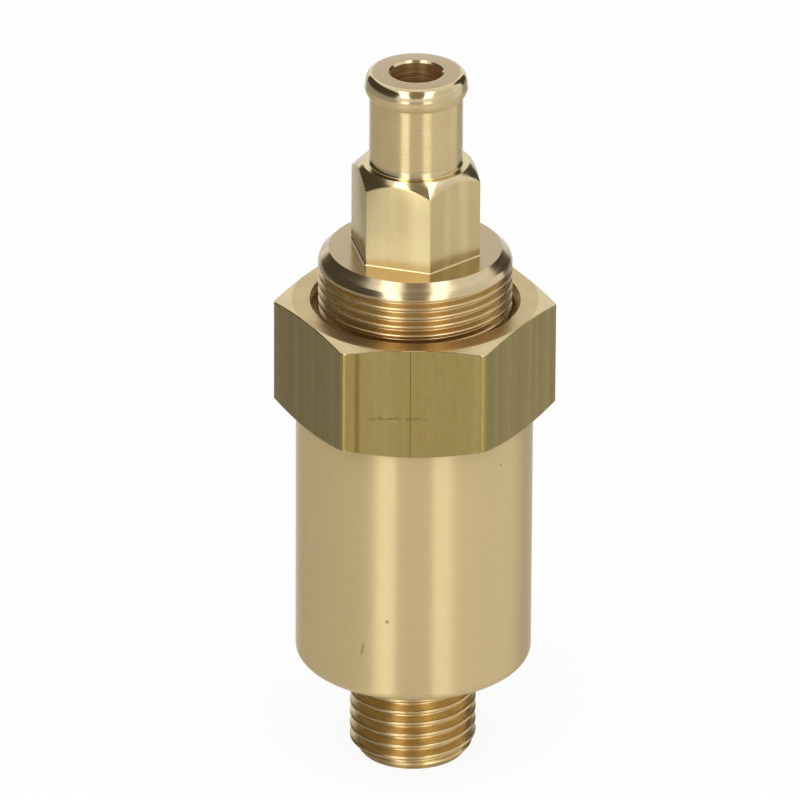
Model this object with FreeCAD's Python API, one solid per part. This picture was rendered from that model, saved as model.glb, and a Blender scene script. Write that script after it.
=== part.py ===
import FreeCAD, Part
import math
import os

# Adjustable thermostatic air vent. All sizes are in millimetres.
# The origin is the centre of the inlet end face, and +Z runs along the axis towards the hose nozzle.
# Heights are measured along Z, and threads are plain cylinders at their major diameter.

# Valve body, turned from hexagon bar
inlet_thread_diameter = 13.157
inlet_thread_length = 10.45
inlet_thread_chamfer = 1.14
inlet_thread_chamfer_height = 1.45
inlet_bore_diameter = 8.0
inlet_bore_chamfer = 0.4
barrel_diameter = 24.5
barrel_length = 28.9
barrel_edge_width = 3.4
barrel_edge_height = 1.8
body_hex_width = 25.3
body_hex_height = 12.2
body_hex_corner_radius = 0.65
body_hex_top_bevel_start = 25.4
body_hex_top_bevel_angle = 15.0
body_hex_under_bevel_angle = 18.5
chamber_diameter = 18.0
chamber_floor_thickness = 3.8
adjuster_thread_diameter = 20.0
adjuster_thread_depth = 8.3
adjuster_mouth_chamfer = 0.8

# Inlet strainer and its spring ring, in a recess of the chamber floor
strainer_diameter = 12.0
strainer_thickness = 0.4
strainer_recess_depth = 1.3
strainer_hole_diameter = 1.0
strainer_hole_pitch = 1.35
strainer_hole_rings = 2
strainer_ring_width = 0.9
strainer_ring_thickness = 0.7
strainer_ring_gap_angle = 34.0

# Capsule carrier: a rim on the chamber floor and arms that rise to a hub
carrier_rim_inner_diameter = 13.6
carrier_rim_height = 2.0
carrier_hub_diameter = 7.0
carrier_hub_thickness = 1.8
carrier_arm_count = 3
carrier_arm_width = 2.6
carrier_arm_foot = 1.2

# Capsule: two caps joined by a bellows, with a stop post inside
capsule_stud_diameter = 3.0
capsule_stud_projection = 3.0
stud_nut_width = 5.5
stud_nut_thickness = 2.0
stud_washer_diameter = 6.0
stud_washer_thickness = 0.5
capsule_cap_diameter = 12.6
capsule_cap_thickness = 0.9
bellows_outer_diameter = 12.2
bellows_inner_diameter = 8.6
bellows_wall = 0.2
bellows_pitch = 1.5
bellows_convolutions = 6
stop_post_diameter = 4.6
stop_post_gap = 1.6
fill_plug_diameter = 1.4
fill_plug_height = 0.6
fill_plug_radius_from_axis = 4.4

# Needle on the capsule's upper cap
needle_boss_diameter = 5.6
needle_boss_height = 1.6
needle_stem_diameter = 2.5
needle_stem_depth = 1.5
needle_collar_height = 1.0
needle_diameter = 4.2
needle_tip_diameter = 1.0
needle_cone_angle = 60.0
needle_nut_width = 5.0
needle_nut_thickness = 1.5
valve_lift = 2.0

# Seat insert, screwed into the adjusting sleeve from below
seat_orifice_diameter = 3.0
seat_countersink_depth = 0.3
seat_thread_diameter = 12.0
seat_length = 4.6
seat_spanner_hole_diameter = 1.4
seat_spanner_hole_spacing = 8.0
seat_spanner_hole_depth = 1.6
seat_gasket_thickness = 0.8
seat_gasket_hole_diameter = 6.4

# Adjusting sleeve
sleeve_exposed_height = 5.9
sleeve_rim_chamfer = 0.9
sleeve_rim_lead_width = 0.2
sleeve_rim_lead_height = 0.6
sleeve_foot_length = 7.2
sleeve_skirt_depth = 3.0
sleeve_skirt_bore_diameter = 14.4
sleeve_web_thickness = 2.4
sleeve_waterway_diameter = 5.3
sleeve_foot_bevel = 0.35
sleeve_thread_lead = 0.7
o_ring_section = 1.25
o_ring_groove_width = 1.7
o_ring_below_thread = 3.4

# Hose nozzle, screwed into the top of the sleeve on a gasket
nozzle_thread_diameter = 10.0
nozzle_thread_lead = 0.6
nozzle_gasket_thickness = 0.8
nozzle_gasket_hole_diameter = 6.0
nozzle_hex_width = 12.0
nozzle_hex_height = 10.0
nozzle_hex_turn = 43.0
nozzle_hex_foot_diameter = 12.6
nozzle_hex_foot_bevel = 0.1
nozzle_shoulder_bevel_angle = 45.0
nozzle_shoulder_diameter = 10.6
nozzle_bore_diameter = 5.3
nozzle_bore_chamfer = 0.3
hose_neck_diameter = 9.6
hose_neck_length = 7.05
hose_neck_fillet = 0.5
hose_bead_diameter = 10.54
hose_bead_rise = 0.85
hose_bead_land = 0.4
hose_bead_nose_height = 1.35
hose_bead_nose_width = 0.75

# Thrust washer and spring that take up the play in the adjuster thread
thrust_washer_thickness = 0.8
spring_mean_diameter = 15.3
spring_wire_diameter = 0.9
spring_turns = 5

# Clearances
running_clearance = 0.05
seal_clearance = 0.02
washer_clearance = 0.4
assembly_clearance = 0.05
closed_valve_gap = 0.05
shoulder_gap = 0.3

# Heights of the shell and of what the sleeve carries, worked out from the inlet face upwards
barrel_bottom = inlet_thread_length
hex_bottom = barrel_bottom + barrel_length
hex_top = hex_bottom + body_hex_height
chamber_floor = barrel_bottom + chamber_floor_thickness
strainer_bottom = chamber_floor - strainer_recess_depth
carrier_rim_top = chamber_floor + carrier_rim_height
adjuster_thread_bottom = hex_top - adjuster_thread_depth
sleeve_shoulder = adjuster_thread_bottom + shoulder_gap
sleeve_bottom = sleeve_shoulder - sleeve_foot_length
sleeve_top = hex_top + sleeve_exposed_height
seat_bottom = sleeve_bottom + sleeve_skirt_depth
seat_top = seat_bottom + seat_length
web_bottom = seat_top + seat_gasket_thickness
web_top = web_bottom + sleeve_web_thickness
nozzle_bottom = web_top + nozzle_gasket_thickness
nozzle_hex_top = sleeve_top + nozzle_hex_height
bead_bottom = nozzle_hex_top + hose_neck_length
thrust_washer_bottom = sleeve_bottom - thrust_washer_thickness

# Heights of the capsule, worked out from the seat downwards so that the lifted needle just closes it
cone_slope = math.tan(math.radians(needle_cone_angle / 2))
seat_mouth_diameter = seat_orifice_diameter + 2 * seat_countersink_depth * cone_slope
needle_reach = (needle_diameter - seat_mouth_diameter) / 2 / cone_slope
needle_cone_bottom = seat_bottom - needle_reach - closed_valve_gap - valve_lift
needle_nut_top = needle_cone_bottom - needle_collar_height
needle_boss_top = needle_nut_top - needle_nut_thickness
upper_cap_top = needle_boss_top - needle_boss_height
bellows_top = upper_cap_top - capsule_cap_thickness
bellows_bottom = bellows_top - bellows_pitch * bellows_convolutions
hub_top = bellows_bottom - capsule_cap_thickness
hub_bottom = hub_top - carrier_hub_thickness

AXIS = FreeCAD.Vector(0, 0, 1)
ORIGIN = FreeCAD.Vector(0, 0, 0)


def point(radius, height):
    return FreeCAD.Vector(radius, 0, height)


def turned(*steps):
    """Solid of revolution about Z. A step (radius, height) is a straight line to that corner, and
    (radius, height, radius, height) is an arc through the first point to the second."""
    start = point(*steps[0])
    here = start
    edges = []
    for step in steps[1:] + (steps[0],):
        there = point(*step[-2:])
        if len(step) == 4:
            edges.append(Part.Arc(here, point(*step[:2]), there).toShape())
        elif there.distanceToPoint(here) > 0:
            edges.append(Part.makeLine(here, there))
        here = there
    return Part.Face(Part.Wire(edges)).revolve(ORIGIN, AXIS, 360)


def on_arc(centre_radius, centre_height, arc_radius, degrees):
    """Point of the (radius, height) plane at an angle on an arc."""
    angle = math.radians(degrees)
    return (centre_radius + arc_radius * math.cos(angle), centre_height + arc_radius * math.sin(angle))


def ring(inner_diameter, outer_diameter, bottom, top):
    return turned(
        (inner_diameter / 2, bottom), (outer_diameter / 2, bottom),
        (outer_diameter / 2, top), (inner_diameter / 2, top),
    )


def rod(diameter, bottom, top):
    return Part.makeCylinder(diameter / 2, top - bottom, point(0, bottom))


def hexagon(width, bottom, top, first_corner=0.0, corner_radius=0.0):
    """Hexagon bar of a width across flats, with its first corner at an angle from +X."""
    corner_reach = width / math.sqrt(3)
    corners = []
    for corner in range(7):
        angle = math.radians(first_corner + 60 * corner)
        corners.append(FreeCAD.Vector(corner_reach * math.cos(angle), corner_reach * math.sin(angle), bottom))
    bar = Part.Face(Part.makePolygon(corners)).extrude(AXIS * (top - bottom))
    if corner_radius:
        upright = [edge for edge in bar.Edges if edge.BoundBox.ZLength > (top - bottom) / 2]
        bar = bar.makeFillet(corner_radius, upright)
    return bar


def bevelled_nut(width, bottom, top, hole_diameter, bevel_angle=30.0):
    """Plain hexagon nut whose corners are turned down at both ends."""
    reach = width / math.sqrt(3)
    bevel = (reach - width / 2) * math.tan(math.radians(bevel_angle))
    envelope = turned(
        (0, bottom), (width / 2, bottom), (reach, bottom + bevel),
        (reach, top - bevel), (width / 2, top), (0, top),
    )
    return hexagon(width, bottom, top).common(envelope).cut(rod(hole_diameter, bottom, top))


def barrel_edge(degrees):
    """Point of the rounded lower edge of the barrel, a quarter ellipse from the underside outwards."""
    angle = math.radians(degrees)
    radius = barrel_diameter / 2 - barrel_edge_width * (1 - math.sin(angle))
    return (radius, barrel_bottom + barrel_edge_height * (1 - math.cos(angle)))


def valve_body():
    """One turning: inlet spigot, barrel and hexagon outside, waterway and chamber inside."""
    thread_r = inlet_thread_diameter / 2
    barrel_r = barrel_diameter / 2
    barrel = turned(
        (0, 0), (thread_r - inlet_thread_chamfer, 0), (thread_r, inlet_thread_chamfer_height),
        (thread_r, barrel_bottom), barrel_edge(0), (*barrel_edge(22.5), *barrel_edge(45)),
        (*barrel_edge(67.5), *barrel_edge(90)), (barrel_r, hex_top), (0, hex_top),
    )
    reach = body_hex_width / math.sqrt(3)
    bevel_start_r = body_hex_top_bevel_start / 2
    top_drop = (reach - bevel_start_r) * math.tan(math.radians(body_hex_top_bevel_angle))
    under_rise = (reach - barrel_r) * math.tan(math.radians(body_hex_under_bevel_angle))
    hex_envelope = turned(
        (0, hex_bottom), (barrel_r, hex_bottom), (reach, hex_bottom + under_rise),
        (reach, hex_top - top_drop), (bevel_start_r, hex_top), (0, hex_top),
    )
    bar = hexagon(body_hex_width, hex_bottom, hex_top, 0.0, body_hex_corner_radius)
    mouth_r = adjuster_thread_diameter / 2 + running_clearance
    bore_r = inlet_bore_diameter / 2
    inside = turned(
        (0, 0), (bore_r + inlet_bore_chamfer, 0), (bore_r, inlet_bore_chamfer), (bore_r, strainer_bottom),
        (strainer_diameter / 2 + assembly_clearance, strainer_bottom),
        (strainer_diameter / 2 + assembly_clearance, chamber_floor),
        (chamber_diameter / 2, chamber_floor), (chamber_diameter / 2, adjuster_thread_bottom),
        (mouth_r, adjuster_thread_bottom), (mouth_r, hex_top - adjuster_mouth_chamfer),
        (mouth_r + adjuster_mouth_chamfer, hex_top), (0, hex_top),
    )
    return barrel.fuse(bar.common(hex_envelope)).cut(inside).removeSplitter()


def inlet_strainer():
    """Perforated disc over the inlet bore, with its holes in rings about the middle one."""
    disc = rod(strainer_diameter, strainer_bottom, strainer_bottom + strainer_thickness)
    holes = [rod(strainer_hole_diameter, strainer_bottom, strainer_bottom + strainer_thickness)]
    for hole_ring in range(1, strainer_hole_rings + 1):
        for step in range(6 * hole_ring):
            hole = holes[0].translated(FreeCAD.Vector(strainer_hole_pitch * hole_ring, 0, 0))
            hole.rotate(ORIGIN, AXIS, 60 * step / hole_ring)
            holes.append(hole)
    return disc.cut(holes)


def strainer_ring():
    """Split spring ring that holds the strainer down in its recess."""
    bottom = strainer_bottom + strainer_thickness
    outer = strainer_diameter
    whole = ring(outer - 2 * strainer_ring_width, outer, bottom, bottom + strainer_ring_thickness)
    gap = Part.makeCylinder(outer, strainer_ring_thickness, point(0, bottom), AXIS, strainer_ring_gap_angle)
    gap.rotate(ORIGIN, AXIS, 90 - strainer_ring_gap_angle / 2)
    return whole.cut(gap)


def capsule_carrier():
    """Spider that stands on the chamber floor, so that air passes between its arms."""
    rim_outer = chamber_diameter - 2 * assembly_clearance
    rim = ring(carrier_rim_inner_diameter, rim_outer, chamber_floor, carrier_rim_top)
    hub = rod(carrier_hub_diameter, hub_bottom, hub_top)
    hub_r = carrier_hub_diameter / 2
    rim_inner_r = carrier_rim_inner_diameter / 2
    rim_middle_r = (carrier_rim_inner_diameter + rim_outer) / 4
    side = Part.makePolygon([
        point(hub_r / 2, hub_bottom), point(hub_r / 2, hub_top), point(hub_r, hub_top),
        point(rim_inner_r, carrier_rim_top), point(rim_middle_r, carrier_rim_top),
        point(rim_middle_r, chamber_floor), point(rim_inner_r - carrier_arm_foot, chamber_floor),
        point(hub_r, hub_bottom), point(hub_r / 2, hub_bottom),
    ])
    side.translate(FreeCAD.Vector(0, -carrier_arm_width / 2, 0))
    arms = []
    for arm in range(carrier_arm_count):
        rib = Part.Face(side).extrude(FreeCAD.Vector(0, carrier_arm_width, 0))
        rib.rotate(ORIGIN, AXIS, 360 * arm / carrier_arm_count)
        arms.append(rib)
    bore = rod(capsule_stud_diameter + 2 * assembly_clearance, hub_bottom, hub_top)
    return rim.fuse([hub] + arms).cut(bore).removeSplitter()


def capsule_lower_cap():
    """Lower cap of the capsule, with the stud that passes through the carrier's hub."""
    stud_r = capsule_stud_diameter / 2
    stud_end = hub_bottom - capsule_stud_projection
    tip_bevel = stud_r / 4
    return turned(
        (0, stud_end), (stud_r - tip_bevel, stud_end), (stud_r, stud_end + tip_bevel), (stud_r, hub_top),
        (capsule_cap_diameter / 2, hub_top), (capsule_cap_diameter / 2, bellows_bottom), (0, bellows_bottom),
    )


def stud_washer():
    hole = capsule_stud_diameter + 2 * assembly_clearance
    return ring(hole, stud_washer_diameter, hub_bottom - stud_washer_thickness, hub_bottom)


def stud_nut():
    top = hub_bottom - stud_washer_thickness
    return bevelled_nut(stud_nut_width, top - stud_nut_thickness, top, capsule_stud_diameter)


def capsule_stop_post():
    """Post inside the capsule that keeps the bellows from being crushed."""
    post_top = bellows_top - stop_post_gap
    post_r = stop_post_diameter / 2
    bevel = post_r / 4
    return turned(
        (0, bellows_bottom), (post_r, bellows_bottom), (post_r, post_top - bevel),
        (post_r - bevel, post_top), (0, post_top),
    )


def bellows_side(offset):
    """Solid core bounded by one side of the bellows wall, offset outwards from its middle."""
    root_r = (bellows_inner_diameter + bellows_wall) / 2 + offset
    crown_r = (bellows_outer_diameter - bellows_wall) / 2 + offset
    quarter = bellows_pitch / 4
    steps = [(0, bellows_bottom), (root_r, bellows_bottom)]
    for convolution in range(bellows_convolutions):
        middle = bellows_bottom + bellows_pitch * (convolution + 0.5)
        steps += [
            (root_r, middle - 1.5 * quarter - offset), (crown_r - quarter / 2, middle - quarter / 2 - offset),
            (crown_r, middle - offset), (crown_r, middle + offset),
            (crown_r - quarter / 2, middle + quarter / 2 + offset), (root_r, middle + 1.5 * quarter + offset),
        ]
    steps += [(root_r, bellows_top), (0, bellows_top)]
    return turned(*steps)


def capsule_bellows():
    """Thin corrugated tube between the two caps, which lengthens as the capsule warms."""
    return bellows_side(bellows_wall / 2).cut(bellows_side(-bellows_wall / 2))


def capsule_upper_cap():
    """Upper cap of the capsule, with the tapped boss that carries the needle."""
    boss_r = needle_boss_diameter / 2
    hole_r = needle_stem_diameter / 2
    hole_bottom = needle_boss_top - needle_stem_depth
    return turned(
        (0, bellows_top), (capsule_cap_diameter / 2, bellows_top), (capsule_cap_diameter / 2, upper_cap_top),
        (boss_r, upper_cap_top), (boss_r, needle_boss_top), (hole_r, needle_boss_top), (hole_r, hole_bottom),
        (0, hole_bottom),
    )


def capsule_fill_plug():
    """Small bevelled plug that seals the hole through which the capsule was charged."""
    plug_r = fill_plug_diameter / 2
    plug = turned(
        (0, 0), (plug_r, 0), (plug_r, fill_plug_height / 2), (plug_r / 2, fill_plug_height), (0, fill_plug_height),
    )
    return plug.translated(FreeCAD.Vector(0, -fill_plug_radius_from_axis, upper_cap_top))


def needle():
    """Valve needle: threaded stem, collar and cone."""
    stem_r = needle_stem_diameter / 2
    cone_r = needle_diameter / 2
    tip_r = needle_tip_diameter / 2
    cone_height = (cone_r - tip_r) / math.tan(math.radians(needle_cone_angle / 2))
    return turned(
        (0, needle_boss_top - needle_stem_depth), (stem_r, needle_boss_top - needle_stem_depth),
        (stem_r, needle_nut_top), (cone_r, needle_nut_top), (cone_r, needle_cone_bottom),
        (tip_r, needle_cone_bottom + cone_height), (0, needle_cone_bottom + cone_height),
    )


def needle_lock_nut():
    return bevelled_nut(needle_nut_width, needle_boss_top, needle_nut_top, needle_stem_diameter)


def valve_seat():
    """Insert with the orifice that the needle closes from below, and two holes for a pin spanner."""
    orifice_r = seat_orifice_diameter / 2
    insert = turned(
        (seat_mouth_diameter / 2, seat_bottom), (seat_thread_diameter / 2, seat_bottom),
        (seat_thread_diameter / 2, seat_top), (orifice_r, seat_top),
        (orifice_r, seat_bottom + seat_countersink_depth),
    )
    hole = rod(seat_spanner_hole_diameter, seat_bottom, seat_bottom + seat_spanner_hole_depth)
    offset = FreeCAD.Vector(seat_spanner_hole_spacing / 2, 0, 0)
    return insert.cut([hole.translated(offset), hole.translated(-offset)])


def seat_gasket():
    return ring(seat_gasket_hole_diameter, seat_thread_diameter, seat_top, web_bottom)


def o_ring_size():
    """Centre radius and height of the sleeve's O-ring section."""
    outer_r = chamber_diameter / 2 - seal_clearance
    return outer_r - o_ring_section / 2, sleeve_shoulder - o_ring_below_thread


def adjusting_sleeve():
    """Turned sleeve: threaded rim, smooth foot with an O-ring groove, a web and a skirt inside."""
    thread_r = adjuster_thread_diameter / 2
    foot_r = chamber_diameter / 2 - running_clearance
    ring_r, ring_height = o_ring_size()
    groove_r = ring_r - o_ring_section / 2 - seal_clearance
    groove_bottom = ring_height - o_ring_groove_width / 2
    groove_top = ring_height + o_ring_groove_width / 2
    rim_r = thread_r - sleeve_rim_lead_width
    rim_bottom = sleeve_top - sleeve_rim_chamfer
    return turned(
        (sleeve_skirt_bore_diameter / 2, sleeve_bottom), (foot_r - sleeve_foot_bevel, sleeve_bottom),
        (foot_r, sleeve_bottom + sleeve_foot_bevel), (foot_r, groove_bottom), (groove_r, groove_bottom),
        (groove_r, groove_top), (foot_r, groove_top), (foot_r, sleeve_shoulder),
        (thread_r - sleeve_thread_lead, sleeve_shoulder), (thread_r, sleeve_shoulder + sleeve_thread_lead),
        (thread_r, rim_bottom - sleeve_rim_lead_height), (rim_r, rim_bottom),
        (rim_r - sleeve_rim_chamfer, sleeve_top),
        (nozzle_thread_diameter / 2, sleeve_top), (nozzle_thread_diameter / 2, web_top),
        (sleeve_waterway_diameter / 2, web_top), (sleeve_waterway_diameter / 2, web_bottom),
        (seat_thread_diameter / 2, web_bottom), (seat_thread_diameter / 2, seat_bottom),
        (sleeve_skirt_bore_diameter / 2, seat_bottom),
    )


def sleeve_o_ring():
    ring_r, ring_height = o_ring_size()
    return Part.makeTorus(ring_r, o_ring_section / 2, point(0, ring_height))


def nozzle_gasket():
    return ring(nozzle_gasket_hole_diameter, nozzle_thread_diameter, web_top, nozzle_bottom)


def outlet_nozzle():
    """Threaded shank, small hexagon and hose neck with a rounded bead, bored through."""
    shank_r = nozzle_thread_diameter / 2
    reach = nozzle_hex_width / math.sqrt(3)
    shoulder_r = nozzle_shoulder_diameter / 2
    shoulder_drop = (reach - shoulder_r) * math.tan(math.radians(nozzle_shoulder_bevel_angle))
    envelope = turned(
        (0, sleeve_top), (nozzle_hex_foot_diameter / 2, sleeve_top), (reach, sleeve_top + nozzle_hex_foot_bevel),
        (reach, nozzle_hex_top - shoulder_drop), (shoulder_r, nozzle_hex_top), (0, nozzle_hex_top),
    )
    bar = hexagon(nozzle_hex_width, sleeve_top, nozzle_hex_top, nozzle_hex_turn).common(envelope)
    neck_r = hose_neck_diameter / 2
    fillet = hose_neck_fillet
    bead_r = hose_bead_diameter / 2
    land_bottom = bead_bottom + hose_bead_rise
    land_top = land_bottom + hose_bead_land
    nose_r = bead_r - hose_bead_nose_width
    quarter = math.sqrt(0.5)
    stem = turned(
        (0, nozzle_bottom), (shank_r - nozzle_thread_lead, nozzle_bottom),
        (shank_r, nozzle_bottom + nozzle_thread_lead), (shank_r, sleeve_top), (neck_r, sleeve_top),
        (neck_r, nozzle_hex_top - fillet), (neck_r + fillet, nozzle_hex_top),
        (*on_arc(neck_r + fillet, nozzle_hex_top + fillet, fillet, 225), neck_r, nozzle_hex_top + fillet),
        (neck_r, bead_bottom),
        (bead_r - (bead_r - neck_r) * quarter ** 3, land_bottom - hose_bead_rise * quarter ** 2, bead_r, land_bottom),
        (bead_r, land_top),
        (nose_r + hose_bead_nose_width * quarter, land_top + hose_bead_nose_height * quarter,
         nose_r, land_top + hose_bead_nose_height),
        (0, land_top + hose_bead_nose_height),
    )
    bore_r = nozzle_bore_diameter / 2
    nozzle_top = land_top + hose_bead_nose_height
    bore = turned(
        (0, nozzle_bottom), (bore_r, nozzle_bottom), (bore_r, nozzle_top - nozzle_bore_chamfer),
        (bore_r + nozzle_bore_chamfer, nozzle_top), (0, nozzle_top),
    )
    return stem.fuse(bar).cut(bore).removeSplitter()


def thrust_washer():
    outer = chamber_diameter - 2 * washer_clearance
    return ring(sleeve_skirt_bore_diameter, outer, thrust_washer_bottom, sleeve_bottom)


def half_coil(side, bottom, rise):
    """Half a turn of spring wire that starts on one side of the axis and ends on the other. It lies
    in a tilted plane and is level at both ends, so that half turns follow one another smoothly."""
    mean_r = spring_mean_diameter / 2
    start = FreeCAD.Vector(side * mean_r, 0, bottom)
    section = Part.Face(Part.Wire(Part.makeCircle(spring_wire_diameter / 2, start, FreeCAD.Vector(0, 1, 0))))
    tilted_axis = FreeCAD.Vector(side * rise / 2, 0, mean_r)
    return section.revolve(point(0, bottom + rise / 2), tilted_axis, 180)


def adjuster_spring():
    """Compression spring with closed ends, between the carrier's rim and the thrust washer."""
    closed_rise = spring_wire_diameter / 2
    active_halves = 2 * spring_turns - 4
    total_rise = thrust_washer_bottom - carrier_rim_top - spring_wire_diameter
    active_rise = (total_rise - 4 * closed_rise) / active_halves
    height = carrier_rim_top + spring_wire_diameter / 2
    halves = []
    for number in range(2 * spring_turns):
        closed = number < 2 or number >= 2 * spring_turns - 2
        rise = closed_rise if closed else active_rise
        side = 1 if number % 2 == 0 else -1
        halves.append(half_coil(side, height, rise))
        height += rise
    return halves[0].fuse(halves[1:])


PARTS = [
    valve_body, inlet_strainer, strainer_ring, capsule_carrier, stud_washer, stud_nut,
    capsule_lower_cap, capsule_stop_post, capsule_bellows, capsule_upper_cap, capsule_fill_plug,
    needle, needle_lock_nut, valve_seat, seat_gasket, adjusting_sleeve, sleeve_o_ring,
    nozzle_gasket, outlet_nozzle, thrust_washer, adjuster_spring,
]

os.makedirs("parts", exist_ok=True)
for make_part in PARTS:
    make_part().exportStep("parts/" + make_part.__name__ + ".step")
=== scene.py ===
import math

import bmesh
import bpy
from mathutils import Matrix, Vector


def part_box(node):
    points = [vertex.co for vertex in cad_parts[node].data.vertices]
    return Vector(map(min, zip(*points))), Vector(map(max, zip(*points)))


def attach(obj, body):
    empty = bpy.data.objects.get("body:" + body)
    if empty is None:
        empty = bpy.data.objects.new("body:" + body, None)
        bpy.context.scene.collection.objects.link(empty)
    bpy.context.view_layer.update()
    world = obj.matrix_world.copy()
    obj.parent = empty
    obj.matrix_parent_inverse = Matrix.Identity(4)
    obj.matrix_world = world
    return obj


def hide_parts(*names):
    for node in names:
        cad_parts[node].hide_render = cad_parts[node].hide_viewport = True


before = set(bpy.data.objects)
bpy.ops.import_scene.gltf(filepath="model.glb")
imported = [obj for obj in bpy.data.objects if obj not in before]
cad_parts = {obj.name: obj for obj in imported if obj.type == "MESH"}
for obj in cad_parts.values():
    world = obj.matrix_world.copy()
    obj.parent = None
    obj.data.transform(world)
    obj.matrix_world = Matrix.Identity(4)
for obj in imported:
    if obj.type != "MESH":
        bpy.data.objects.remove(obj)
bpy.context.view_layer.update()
mm = 0.001

# ------------------------------------------------------------------------------------ valve body
# The valve body is one turning from drawn hexagon brass bar. The inlet spigot is screw-cut G 1/4,
# the barrel is finished with a fine feed, and the hexagon keeps the bar's drawn skin.
inlet_crest = 13.157 / 2 * mm
inlet_root = 11.445 / 2 * mm
inlet_pitch = 1.337 * mm
inlet_front_crest = 1.75 * mm
inlet_end_radius = 5.4385 * mm
inlet_end_height = 1.45 * mm
inlet_runout = 1.1 * mm
inlet_plain_length = 0.3 * mm
spigot_top = 10.45 * mm
barrel_radius = 12.25 * mm
barrel_edge_width = 3.4 * mm
barrel_edge_height = 1.8 * mm
hex_low = 39.35 * mm
hex_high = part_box("valve_body")[1].z
hex_width = 25.3 * mm
hex_corner = 0.65 * mm
hex_bevel_radius = 12.7 * mm
hex_top_slope = math.tan(math.radians(15))
hex_under_slope = math.tan(math.radians(18.5))
edge_break = 0.06 * mm
top_face_ring = 0.3 * mm
mouth_radius = 10.05 * mm
mouth_chamfer = 0.8 * mm
mouth_depth = 8.3 * mm
chamber_radius = 9.0 * mm
chamber_floor = 14.25 * mm
recess_radius = 6.05 * mm
recess_floor = 12.95 * mm
inlet_bore = 4.0 * mm
inlet_bore_chamfer = 0.4 * mm
weld = 0.002 * mm
thread_columns = 144


def curve(start, control, end, steps):
    """Points after start on a quadratic curve of the (radius, height) plane."""
    points = []
    for step in range(1, steps + 1):
        t = step / steps
        points.append(tuple(
            (1 - t) ** 2 * a + 2 * t * (1 - t) * b + t * t * c for a, b, c in zip(start, control, end)
        ))
    return points


def arc(centre, radius, first, last, steps):
    """Points of an arc of the (radius, height) plane, between two angles in degrees."""
    points = []
    for step in range(steps + 1):
        angle = math.radians(first + (last - first) * step / steps)
        points.append((centre[0] + radius * math.cos(angle), centre[1] + radius * math.sin(angle)))
    return points


def lathe(bm, outline, closed=False, columns=240):
    """Spins an outline of (radius, height) corners through a full turn."""
    corners = [bm.verts.new((radius, 0, height)) for radius, height in outline]
    pairs = list(zip(corners, corners[1:])) + ([(corners[-1], corners[0])] if closed else [])
    lines = [bm.edges.new(pair) for pair in pairs]
    bmesh.ops.spin(
        bm, geom=corners + lines, cent=(0, 0, 0), axis=(0, 0, 1), dvec=(0, 0, 0),
        angle=2 * math.pi, steps=columns, use_merge=True, use_duplicate=False,
    )


def cut_thread(bm, root, crest, pitch, front_crest, low, high):
    """Right-hand thread between two heights: its teeth are spun once round while they climb a pitch."""
    flank = ((0, 0), (0.05, 0.01), (0.09, 0.055), (0.13, 0.15), (0.33, 0.80), (0.36, 0.885), (0.395, 0.95),
             (0.44, 0.99))
    tooth = flank + tuple((1 - share, rise) for share, rise in ((0.5, 1),) + flank[:0:-1])
    # A crest is halfway up its tooth, and the front lies a quarter turn before the first column.
    start = front_crest + pitch / 4 - pitch / 2
    start -= pitch * math.ceil((start - low) / pitch + 2)
    outline = []
    for turn in range(math.ceil((high - start) / pitch) + 1):
        for share, rise in tooth:
            outline.append((root + (crest - root) * rise, start + pitch * (turn + share)))
    corners = [bm.verts.new((radius, 0, height)) for radius, height in outline]
    lines = [bm.edges.new(pair) for pair in zip(corners, corners[1:])]
    bmesh.ops.spin(
        bm, geom=corners + lines, cent=(0, 0, 0), axis=(0, 0, 1), dvec=(0, 0, pitch / thread_columns),
        angle=2 * math.pi, steps=thread_columns, use_merge=False, use_duplicate=False,
    )
    bmesh.ops.remove_doubles(bm, verts=bm.verts[:], dist=weld)
    for height, side in ((low, -1), (high, 1)):
        bmesh.ops.bisect_plane(
            bm, geom=bm.verts[:] + bm.edges[:] + bm.faces[:], dist=weld / 20,
            plane_co=(0, 0, height), plane_no=(0, 0, side), clear_outer=True,
        )


def set_radius(vert, radius):
    """Moves a vertex straight out or in to a distance from the axis."""
    here = math.hypot(vert.co.x, vert.co.y)
    vert.co.x *= radius / here
    vert.co.y *= radius / here


def gather_columns(bm, first_corner):
    """Draws the columns of a spun shell together at the six corners that a hexagon will have."""
    gathering = 0.85
    for vert in bm.verts:
        radius = math.hypot(vert.co.x, vert.co.y)
        angle = math.atan2(vert.co.y, vert.co.x)
        angle -= gathering / 6 * math.sin(6 * (angle - math.radians(first_corner)))
        vert.co.x = radius * math.cos(angle)
        vert.co.y = radius * math.sin(angle)


def hexagon_radius(angle, width, corner_radius):
    """Distance from the axis to a hexagon's side, at an angle in radians from one of its corners."""
    turn = abs((angle + math.pi / 6) % (math.pi / 3) - math.pi / 6)
    corner_centre = width / math.sqrt(3) - corner_radius / math.cos(math.pi / 6)
    if turn < math.atan2(corner_radius / 2, corner_centre + corner_radius * math.cos(math.pi / 6)):
        half_chord = math.sqrt(corner_radius ** 2 - (corner_centre * math.sin(turn)) ** 2)
        return corner_centre * math.cos(turn) + half_chord
    return width / 2 / math.cos(math.pi / 6 - turn)


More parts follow.
